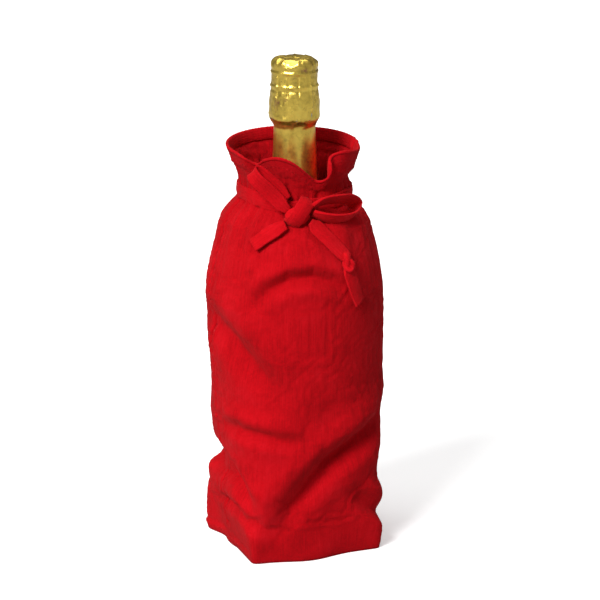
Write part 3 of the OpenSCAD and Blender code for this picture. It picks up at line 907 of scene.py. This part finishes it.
# ---- operators
class GIFTBAG_OT_stage(bpy.types.Operator):
    """Camera, pale floor and soft studio lights"""
    bl_idname = "giftbag.stage"
    bl_label = "Studio"

    def execute(self, context):
        scene = context.scene
        scene.view_settings.view_transform = "Standard"
        middle, away, distance = Vector((0, 0, 0.160)), direction(-20, 14.75), 1.6
        data = bpy.data.cameras.new("camera")
        data.lens, data.sensor_width = 145.7, 36
        data.shift_x, data.shift_y = 0.0092, 0.0083
        camera = bpy.data.objects.new("camera", data)
        camera.location = middle + away * distance
        camera.rotation_euler = (-away).to_track_quat("-Z", "Y").to_euler()
        scene.collection.objects.link(camera)
        scene.camera = camera

        bm = bmesh.new()
        bmesh.ops.create_grid(bm, x_segments=8, y_segments=8, size=12)
        mesh_object("studio_floor", bm, "floor", False)

        world = bpy.data.worlds.new("studio")
        world.use_nodes = True
        back = world.node_tree.nodes["Background"]
        back.inputs["Color"].default_value = (1.0, 0.99, 0.98, 1)
        back.inputs["Strength"].default_value = 0.1
        scene.world = world
        suns = [("key_light", -54, 36, 3.75, 24), ("fill_light", 45, 30, 0.42, 110),
                ("top_light", -150, 78, 1.6, 50)]
        for name, azimuth, height, power, spread in suns:
            lamp = bpy.data.lights.new(name, "SUN")
            lamp.energy, lamp.angle = power, radians(spread)
            obj = bpy.data.objects.new(name, lamp)
            obj.rotation_euler = direction(azimuth, height).to_track_quat("Z", "Y").to_euler()
            scene.collection.objects.link(obj)
        return {"FINISHED"}


class GIFTBAG_OT_loops(bpy.types.Operator):
    """The bow's two loops of folded tape"""
    bl_idname = "giftbag.loops"
    bl_label = "Bow loops"

    def execute(self, context):
        for body, route, lay, cup in (("loop_left", LOOP_LEFT, lay_left, 0.5 * MM),
                                      ("loop_right", LOOP_RIGHT, lay_right, 0.4 * MM)):
            name = "bow_" + body
            path = fine_route([place(p) for p in route])
            length = route_length(path)
            bm = tape_mesh(path, lay, TAPE_W, TAPE_T, cup, 0.5 * MM, len(name),
                           [(0, 5 * MM, 0.55), (length, 5 * MM, 0.55)])
            loop = ride_as(mesh_object(name, bm, "tie_tape"), body, "tie_tape", body)
        return {"FINISHED"}


class GIFTBAG_OT_tails(bpy.types.Operator):
    """The bow's two tails, the right one knotted and frayed at its end"""
    bl_idname = "giftbag.tails"
    bl_label = "Bow tails"

    def execute(self, context):
        path = fine_route([place(p) for p in TAIL_START + TAIL_RIGHT + [TAIL_KNOT] + TAIL_TIP])
        at_knot = route_length(fine_route([place(p) for p in TAIL_START + TAIL_RIGHT + [TAIL_KNOT]]))
        bm = tape_mesh(path, lay_flat, 10.4 * MM, TAPE_T, 0.5 * MM, 0.4 * MM, 4.0,
                       [(0, 3 * MM, 0.4), (at_knot, 4 * MM, 0.45)])
        tail = ride_as(mesh_object("bow_tail_right", bm, "tie_tape"), "tail_right", "tie_tape",
                       "tail_right", "tail_tip")
        knot = ride_as(self.knot(), "tail_right", "tie_tape", "tail_knot")
        fray = ride_as(self.fray(path), "tail_right", "tie_tape")

        path = fine_route([place(p) for p in TAIL_LEFT])
        bm = tape_mesh(path, lay_flat, TAPE_W, TAPE_T, 0.6 * MM, 0.5 * MM, 11.0, [(0, 5 * MM, 0.7)])
        tail = ride_as(mesh_object("bow_tail_left", bm, "tie_tape"), "tail_left", "tie_tape", "tail_left")
        return {"FINISHED"}

    def knot(self):
        """Overhand knot: a crumpled cord along a trefoil."""
        centre = place(TAIL_KNOT)
        out = Vector((centre.x, centre.y, 0)).normalized()
        down = (place(TAIL_TIP[0]) - place(TAIL_RIGHT[-1])).normalized()
        across = down.cross(out).normalized()
        turn = Matrix((across, down, out)).transposed()
        points = []
        for k in range(72):
            t = tau * k / 72
            p = Vector((sin(t) + 2 * sin(2 * t), cos(t) - 2 * cos(2 * t), -sin(3 * t)))
            points.append(centre + turn @ Vector((p.x * 0.72, p.y * 1.7, p.z * 1.3)) * MM)
        bm = ring_tube(points, 2.1 * MM, 0.3 * MM)
        turn = turn.to_4x4()
        turn.translation = centre
        bmesh.ops.create_uvsphere(bm, u_segments=24, v_segments=16, radius=1.0,
                                  matrix=turn @ Matrix.Diagonal((2.9 * MM, 5.0 * MM, 2.4 * MM, 1)))
        return mesh_object("bow_tail_knot", bm, "tie_tape")

    def fray(self, path):
        """Loose threads at the cut end."""
        end, along = path[-1], (path[-1] - path[-3]).normalized()
        wide = lay_flat(end, along).normalized()
        bm = bmesh.new()
        for k in range(22):
            u = (k / 21 - 0.5) * 7.6
            wander = noise.noise_vector(Vector((k * 1.7, 3.1, 0)))
            reach = 1.6 + 2.6 * abs(wander.x)
            root = end + wide * u * MM - along * 0.8 * MM
            tip = root + (along * (reach + 0.8) + wide * wander.y * 1.5 + wander * 0.5) * MM
            middle = root.lerp(tip, 0.5) + wander * 0.35 * MM
            strand(bm, [root, middle, tip], 0.24 * MM)
        return mesh_object("bow_tail_fray", bm, "tie_tape")


def strand(bm, points, radius, sides=5):
    """A thin thread through the points, closed at both ends."""
    rings = []
    for i, p in enumerate(points):
        along = (points[min(i + 1, len(points) - 1)] - points[max(i - 1, 0)]).normalized()
        side = along.orthogonal().normalized()
        up = along.cross(side)
        thin = 1.0 if i < len(points) - 1 else 0.45
        rings.append([bm.verts.new(p + (side * cos(tau * k / sides) + up * sin(tau * k / sides)) * radius * thin)
                      for k in range(sides)])
    for a, b in zip(rings, rings[1:]):
        for k in range(sides):
            bm.faces.new((a[k], a[(k + 1) % sides], b[(k + 1) % sides], b[k]))
    bm.faces.new(rings[0][::-1])
    bm.faces.new(rings[-1])


def ring_tube(points, radius, crumple, sides=14):
    """A closed tube along a ring of points, with lengthwise folds."""
    bm = bmesh.new()
    uv = bm.loops.layers.uv.new("UVMap")
    rings, count = [], len(points)
    up = Vector((0, 0, 1))
    for i, p in enumerate(points):
        along = (points[(i + 1) % count] - points[i - 1]).normalized()
        side = along.cross(up).normalized()
        up = side.cross(along).normalized()
        ring = []
        for k in range(sides):
            a = tau * k / sides
            r = radius * (1 + 0.16 * cos(3 * a)) + crumple * noise.noise(Vector((i * 0.21, a, 9.0)))
            ring.append(bm.verts.new(p + (side * cos(a) + up * sin(a)) * r))
        rings.append(ring)
    # the last ring is joined to the first at the turn that lies closest to it
    best = min(range(sides), key=lambda s: (rings[-1][s].co - rings[0][0].co).length)
    rings.append(rings[0])
    for i, (a, b) in enumerate(zip(rings, rings[1:])):
        if i == count - 1:
            a = a[best:] + a[:best]
        join_rings(bm, uv, a, b, lambda on_b, n, j: (n * radius * tau / sides, (i + on_b) * 0.8 * MM))
    return outward(bm)


class GIFTBAG_OT_bag(bpy.types.Operator):
    """The bag's front and back cloth, its hem and all its stitching"""
    bl_idname = "giftbag.bag"
    bl_label = "Cotton bag"

    def execute(self, context):
        front, back = half_panel("bag_front", True), half_panel("bag_back", False)
        cloth = make_cloth()[1]
        trim = [self.hem(cloth), *self.wall_stitches(cloth), self.hem_stitches(cloth)]
        return {"FINISHED"}

    def hem(self, cloth):
        """The rim's cloth, folded over to the inside."""
        cols = cloth.grid.shape[1]
        section = [(1.5, 0.10), (0.5, 0.2), (-0.25, 0.0), (-0.55, -0.6), (-0.45, -1.3), (0.2, -1.85),
                   (1.6, -1.95), (4.5, -1.9), (7.4, -1.6), (8.3, -1.2), (8.0, -1.0), (5.0, -1.05), (1.7, -1.05),
                   (1.0, -0.5)]
        bm = bmesh.new()
        uv = bm.loops.layers.uv.new("UVMap")
        rings = []
        for c in range(cols):
            top, n = cloth.spot(c, len(cloth.grid) - 1)
            up = (top - cloth.spot(c, len(cloth.grid) - 2)[0]).normalized()
            ring = []
            for below, off in section:
                if below > 0:
                    p = cloth.spot(c, cloth.row_below_rim(c, below * MM), off * MM)[0]
                else:
                    p = top + n * off * MM - up * below * MM
                ring.append(bm.verts.new(p))
            rings.append(ring)
        for c in range(cols):
            join_rings(bm, uv, rings[c], rings[(c + 1) % cols],
                       lambda on_b, i, j: ((c + on_b) * 1.2 * MM, i * 1.1 * MM))
        return ride_as(mesh_object("bag_hem", outward(bm), "bag_cloth"), BAG, "bag_cloth", "rim_hem")

    def wall_stitches(self, cloth):
        """The side seams and, at the foot, the seams across the boxed corners."""
        s, made = sizes(), []
        rows = np.arange(cloth.row(9 * MM), cloth.row(TIED_LOW - 2 * MM))
        across = np.arange(-0.064, 0.0641, 0.004) * cloth.grid.shape[1]
        for kind, node in (("seam", "seam_thread"), ("foot", "corner_thread")):
            for side, angle in (("left", 180), ("right", 0)):
                if kind == "seam":
                    line = [cloth.spot(cloth.column(angle + 2.6), r, 0.1 * MM) for r in rows]
                else:
                    line = [cloth.spot(cloth.column(angle) + c, cloth.row(4.6 * MM), 0.1 * MM) for c in across]
                made.append(stitch_row(f"{side}_{kind}_stitches", sewn_line(line, s.stitch_len, s.stitch_pitch),
                                       f"{side}_{node}"))
        return made

    def hem_stitches(self, cloth):
        s = sizes()
        cols = cloth.grid.shape[1]
        line = [cloth.spot(c, cloth.row_below_rim(c, 6.4 * MM), 0.08 * MM) for c in range(cols + 1)]
        return stitch_row("hem_stitches", sewn_line(line, s.stitch_len * 0.8, s.stitch_pitch * 0.85),
                          "hem_thread", 0.24 * MM)


class GIFTBAG_OT_tie(bpy.types.Operator):
    """The band round the neck, the bow's knot and the tack behind it"""
    bl_idname = "giftbag.tie"
    bl_label = "Tie and knot"

    def execute(self, context):
        band = self.band()
        self.knot()
        spots = []
        for up in (-3.0, -1.0, 1.0, 3.0):
            p = polar(BAND_R + 0.5 * MM, 90, TIE_Z + up * MM + float(band_height(90)))
            spots.append((p, Vector((1, 0, 0.25)), Vector((0, 1, 0)), 3.2 * MM))
        stitch_row("tie_tack_stitches", spots, "tie_tack", 0.35 * MM)
        return {"FINISHED"}

    def band(self):
        """Folded tape pulled tight round the gathers."""
        path, count = [], 180
        for k in range(count):
            a = 360 * k / count - 180
            lift = 0.5 * noise.noise(Vector((k * 0.22, 0, 5.0)))
            sway = 0.5 * noise.noise(Vector((k * 0.13, 4.0, 0)))
            path.append(polar(BAND_R - TAPE_T / 2 + lift * MM, a, TIE_Z + float(band_height(a)) + sway * MM))
        bm = bmesh.new()
        uv = bm.loops.layers.uv.new("UVMap")
        rings = []
        for i, p in enumerate(path):
            out = Vector((p.x, p.y, 0)).normalized()
            narrow = 0.93 + 0.1 * noise.noise(Vector((i * 0.1, 1.0, 2.0)))
            ring = []
            for x, y in TAPE_SECTION:
                bow = 0.35 * MM * (1 - x * x)
                dent = 0.3 * MM * noise.noise(Vector((i * 0.33, x * 1.4, 7.0)))
                ring.append(bm.verts.new(p + Vector((0, 0, x * TAPE_W / 2 * narrow))
                                         + out * (y * TAPE_T / 2 + bow + dent)))
            rings.append(ring)
        k = len(TAPE_SECTION)
        for i in range(count):
            join_rings(bm, uv, rings[i], rings[(i + 1) % count],
                       lambda on_b, n, j: (TAPE_SECTION[n % k][0] * TAPE_W / 2, (i + on_b) * 1.29 * MM))
        return ride_as(mesh_object("tie_band", outward(bm), "tie_tape"), BAG, "tie_tape", "neck_band")

    def knot(self):
        """A wrap of tape slanting over the crossing, with the gathered tape showing at its sides."""
        centre, right, out = knot_frame()

        def spot(x, y, z):
            return centre + (right * x + Vector((0, 0, y)) + out * z) * MM

        route = [(5.6, 6.8, -4.5), (5.3, 7.1, -1), (3.9, 5.5, 2.2), (1.8, 2.8, 4.2), (0, 0, 4.9),
                 (-2, -3.2, 4.3), (-4, -6.1, 2.4), (-5.2, -7.8, -1), (-5.4, -7.8, -4.5)]
        path = fine_route([spot(*p) for p in route], 0.8 * MM)
        slant = right * 0.87 - Vector((0, 0, 0.5))
        bm = tape_mesh(path, lambda p, along: slant, 10.4 * MM, 2.0 * MM, -1.5 * MM, 0.35 * MM, 21.0)
        core = bmesh.ops.create_uvsphere(bm, u_segments=36, v_segments=24, radius=1.0)["verts"]
        turn = Matrix((right, Vector((0, 0, 1)), out)).transposed().to_4x4()
        turn.translation = spot(-1.2, -2.4, -0.4)
        bmesh.ops.transform(bm, matrix=turn @ Matrix.Diagonal((7.8 * MM, 6.0 * MM, 4.4 * MM, 1)), verts=core)
        for v in core:
            fold = noise.noise((v.co - centre) * 330)
            v.co += (v.co - centre).normalized() * fold * 1.3 * MM
        ride_as(mesh_object("bow_knot_wrap", bm, "tie_tape"), BAG, "tie_tape", "bow_knot")


class GIFTBAG_OT_foil(bpy.types.Operator):
    """The crinkled gold foil over the cork and the neck"""
    bl_idname = "giftbag.foil"
    bl_label = "Foil hood"

    def execute(self, context):
        low, top = HOOD_LOW.z / MM, HOOD_HIGH.z / MM
        lip = GLASS_HIGH.z / MM
        profile = [(15.8, low), (15.05, low + 6.5), (14.8, low + 13), (14.2, low + 30), (13.7, low + 45),
                   (13.5, lip - 20), (13.5, lip - 18.4), (13.8, lip - 17.2), (14.5, lip - 15.8), (15.4, lip - 14.2),
                   (16.3, lip - 12), (16.4, lip - 5), (16.1, lip - 1), (15.6, lip + 3.5), (15.2, lip + 8),
                   (14.9, lip + 13), (14.8, lip + 15.4), (15.3, lip + 16.4), (15.3, lip + 17.4), (14.8, lip + 18.4),
                   (14.7, top - 4.5), (14.2, top - 2.2), (12.4, top - 0.7), (9.0, top + 0.1), (4.0, top + 0.3),
                   (0.0, top + 0.3)]
        bm = bmesh.new()
        fine = fine_route([Vector((r, 0, z)) * MM for r, z in profile], 0.68 * MM)
        verts = [bm.verts.new(p if p.x > 1e-6 else Vector((0, 0, p.z))) for p in fine]
        for a, b in zip(verts, verts[1:]):
            bm.edges.new((a, b))
        bmesh.ops.spin(bm, geom=bm.verts[:] + bm.edges[:], cent=(0, 0, 0), axis=(0, 0, 1), angle=tau, steps=240,
                       use_merge=True)
        bmesh.ops.remove_doubles(bm, verts=bm.verts[:], dist=1e-6)
        outward(bm).normal_update()
        depth = sizes().foil_crinkle
        moved = [v.co + v.normal * self.crease(v.co, lip) * depth for v in bm.verts]
        for v, p in zip(bm.verts, moved):
            v.co = p
        obj = mesh_object("neck_foil", bm, "gold_foil")
        wall = obj.modifiers.new("Foil thickness", "SOLIDIFY")
        wall.thickness, wall.offset = 0.12 * MM, -1
        ride_as(obj, BOTTLE, "gold_foil", "foil_hood")
        return {"FINISHED"}

    def crease(self, p, lip):
        """Height of the foil above its smooth form, as a share of the crinkle depth."""
        z = p.z / MM - lip
        a = np.degrees(atan2(p.y, p.x))
        soft = noise.noise(p * 70)
        folded = 1 - abs(noise.noise(p * 150 + Vector((3, 0, 0)))) * 2.6
        fine = 1 - abs(noise.noise(p * 330)) * 2.4
        neck = float(smooth((-17.5 - z) / 2))
        knot = float(np.exp(-((z + 13) / 4.5) ** 2))
        peak = float(smooth((z - 17.5) / 4))
        height = (1 - neck) * (0.7 * folded + 0.35 * fine + 0.6 * soft)
        height += knot * (1.9 * noise.noise(p * 110 + Vector((9, 0, 0))) + 0.8 * folded)
        height += peak * (1.6 * folded + 1.4 * soft)
        side = float(smooth((z + 9) / 3) * (1 - smooth((z - 14) / 3)))
        for leg in (-157, -67, 23, 113):
            near = float(wrapped(a, leg))
            height += side * 2.6 * np.exp(-(near / 2.6) ** 2)
            for groove in (31, 57):
                height -= side * 1.7 * np.exp(-((near - groove) / 2.2) ** 2) * float(smooth((z - 1) / 3))
        height += side * 1.5 * np.exp(-((z - 8) / 0.8) ** 2) - side * 0.9 * np.exp(-((z - 5.8) / 1.1) ** 2)
        height += neck * (0.5 * soft + 0.35 * noise.noise(Vector((a * 0.05, z * 0.03, 1.0))))
        return float(height)


class GIFTBAG_OT_bottle(bpy.types.Operator):
    """Finishes for the bottle's glass, wine, cork, cage, plate and labels"""
    bl_idname = "giftbag.bottle"
    bl_label = "Bottle finishes"

    def execute(self, context):
        finishes = {"glass_bottle": "bottle_glass", "wine": "wine", "cork": "cork", "cage_cap": "cap_plate",
                    "wire_cage": "cage_wire", "front_label": "label_paper", "back_label": "label_paper"}
        for node, finish in finishes.items():
            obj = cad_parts[node]
            if not obj.material_slots:
                obj.data.materials.append(material(finish))
            for held in obj.material_slots:
                held.material = material(finish)
        return {"FINISHED"}


STEPS = (GIFTBAG_OT_stage, GIFTBAG_OT_loops, GIFTBAG_OT_tails, GIFTBAG_OT_bag, GIFTBAG_OT_tie,
         GIFTBAG_OT_foil, GIFTBAG_OT_bottle)


class GIFTBAG_PT_panel(bpy.types.Panel):
    """Steps that build the gift bag"""
    bl_label = "Wine Gift Bag"
    bl_space_type = "VIEW_3D"
    bl_region_type = "UI"
    bl_category = "Gift Bag"

    def draw(self, context):
        for step in STEPS:
            self.layout.operator(step.bl_idname)
        for group in (context.scene.gift_bag_sizes, context.scene.gift_bag_colours):
            for name in group.bl_rna.properties.keys():
                if name not in {"rna_type", "name"}:
                    self.layout.prop(group, name)


CLASSES = (GiftBagSizes, GiftBagColours, *STEPS, GIFTBAG_PT_panel)


def register():
    for cls in CLASSES:
        bpy.utils.register_class(cls)
    bpy.types.Scene.gift_bag_sizes = PointerProperty(type=GiftBagSizes)
    bpy.types.Scene.gift_bag_colours = PointerProperty(type=GiftBagColours)


def unregister():
    del bpy.types.Scene.gift_bag_colours
    del bpy.types.Scene.gift_bag_sizes
    for cls in reversed(CLASSES):
        bpy.utils.unregister_class(cls)


def main():
    register()
    for step in STEPS:
        group, name = step.bl_idname.split(".")
        getattr(getattr(bpy.ops, group), name)()


if __name__ == "__main__":
    main()
